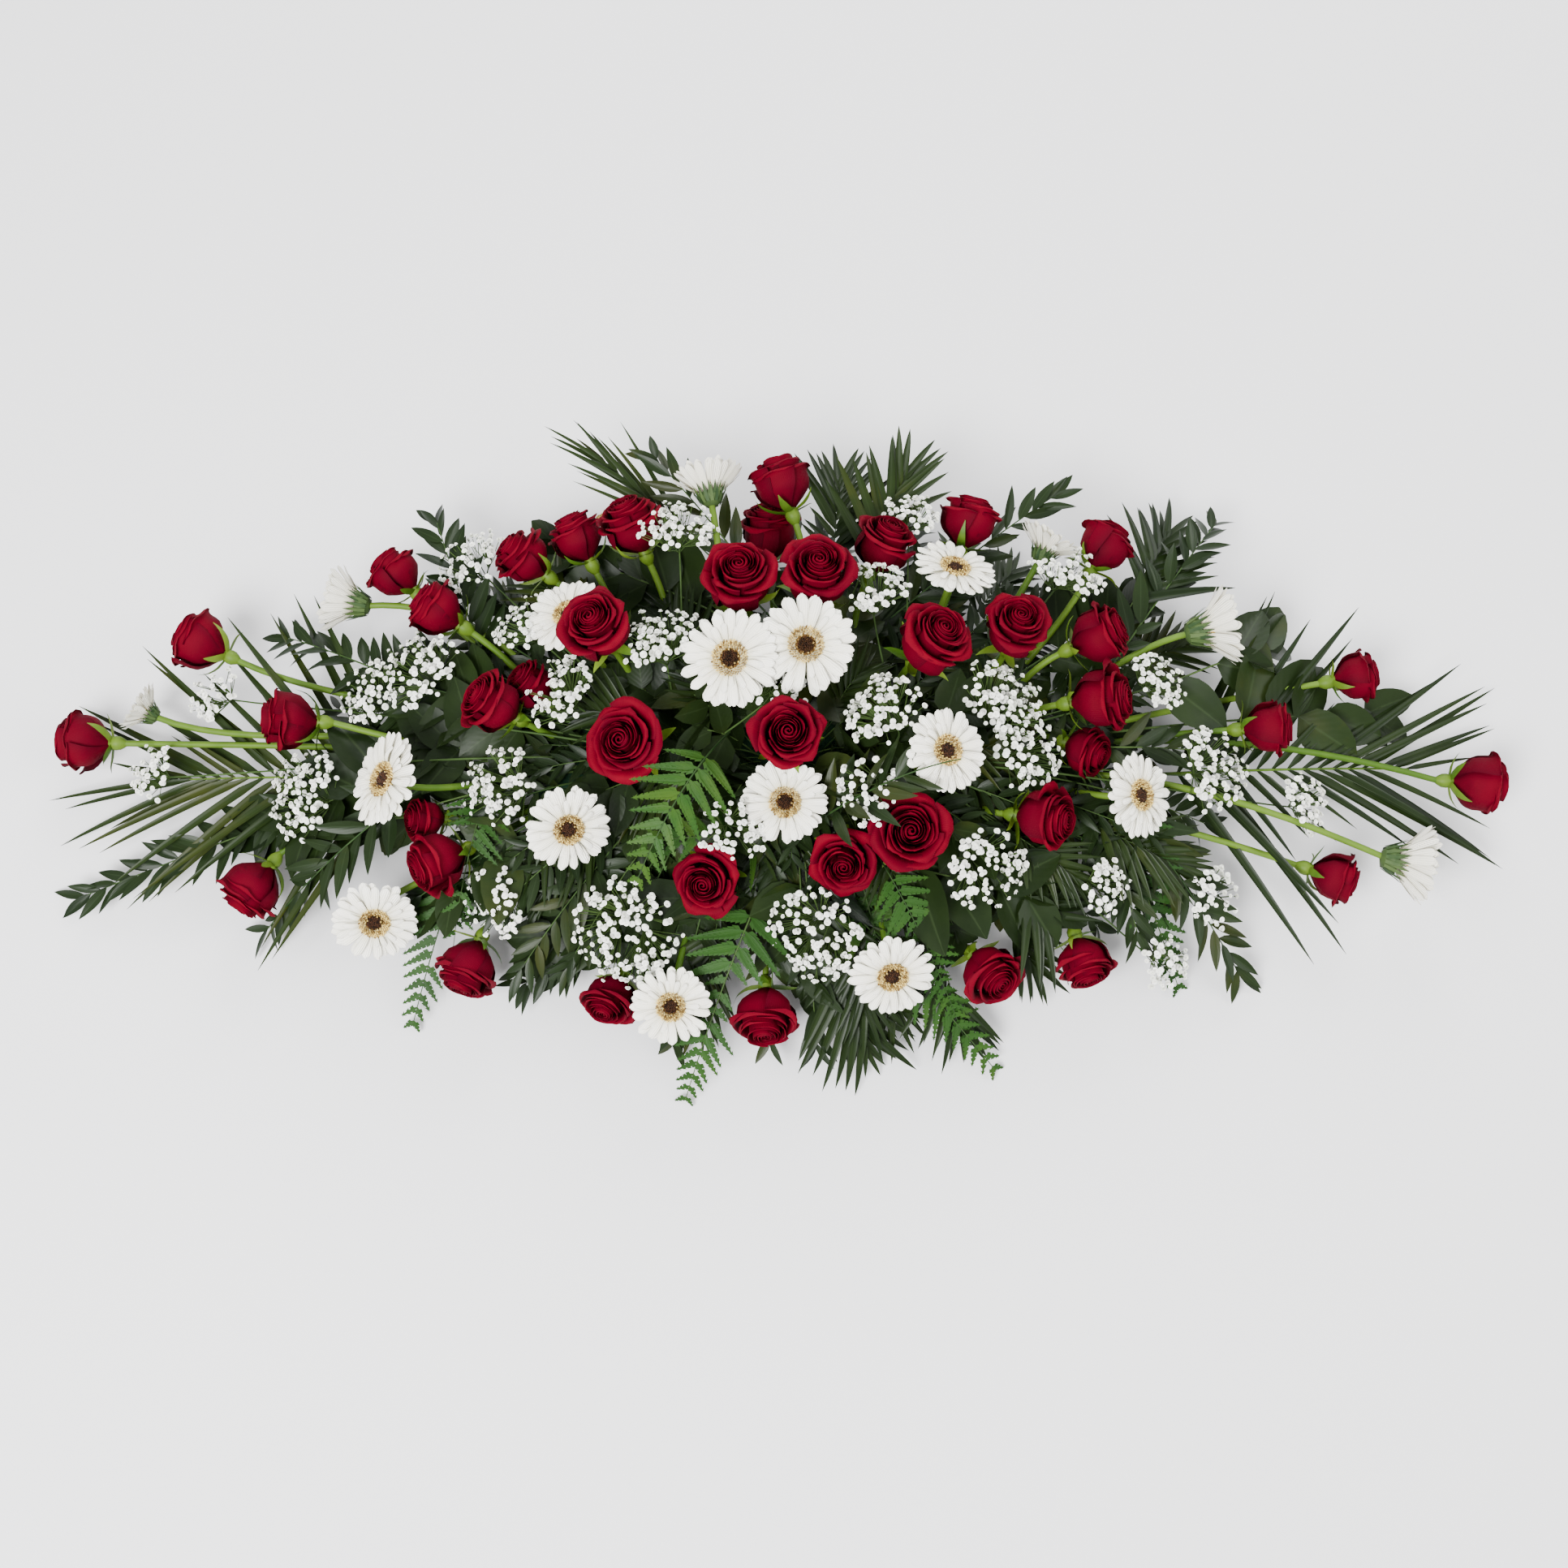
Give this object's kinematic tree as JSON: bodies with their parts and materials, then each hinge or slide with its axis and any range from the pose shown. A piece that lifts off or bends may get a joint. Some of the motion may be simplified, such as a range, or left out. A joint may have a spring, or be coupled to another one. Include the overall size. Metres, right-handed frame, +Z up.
{
  "type": "casket spray",
  "caption": "Double-ended casket spray: roses, gerberas and gypsophila over mixed greenery, stems pushed into wet floral foam in a long plastic tray",
  "frame": {"origin": "centre of the tray's flat underside, on the surface that the spray stands on", "axes": "+X along the spray, +Y to the side that is farther from the camera in the picture, +Z up"},
  "size_m": [1.3904, 0.649, 0.2526],
  "materials": {
    "tray": "moulded dark green plastic, slight sheen",
    "foam": "wet floral foam, matt and finely pored",
    "rose": "velvety petals",
    "gerbera": "matt petals with a silky sheen",
    "gypsophila": "papery matt florets",
    "palm": "smooth leaf, satin",
    "leaf": "smooth leaf, satin"
  },
  "bodies": {
    "root": {"foam": "foam", "gerbera_01": "gerbera", "gerbera_02": "gerbera", "gerbera_03": "gerbera", "gerbera_04": "gerbera", "gerbera_05": "gerbera", "gerbera_06": "gerbera", "gerbera_07": "gerbera", "gerbera_08_09": "gerbera", "gerbera_10": "gerbera", "gerbera_11": "gerbera", "gerbera_12": "gerbera", "gerbera_13": "gerbera", "gerbera_14": "gerbera", "gerbera_15": "gerbera", "gerbera_16": "gerbera", "gerbera_17": "gerbera", "gerbera_18": "gerbera", "gerbera_19": "gerbera", "greenery_back": "leaf", "greenery_front": "leaf", "greenery_left": "leaf", "greenery_right": "leaf", "gypsophila_left": "gypsophila", "gypsophila_right": "gypsophila", "palm_left": "palm", "palm_right": "palm", "rose_01_02": "rose", "rose_03_04_05": "rose", "rose_06": "rose", "rose_07": "rose", "rose_08": "rose", "rose_09": "rose", "rose_10": "rose", "rose_11_12": "rose", "rose_13": "rose", "rose_14_15": "rose", "rose_16": "rose", "rose_17": "rose", "rose_18": "rose", "rose_19": "rose", "rose_20": "rose", "rose_21_22_23": "rose", "rose_24": "rose", "rose_25": "rose", "rose_26": "rose", "rose_27": "rose", "rose_28": "rose", "rose_29_30": "rose", "rose_31": "rose", "rose_32": "rose", "rose_33": "rose", "rose_34_41": "rose", "rose_35": "rose", "rose_36": "rose", "rose_37": "rose", "rose_38": "rose", "rose_39": "rose", "rose_40": "rose", "tray": "tray"}
  },
  "joints": []
}
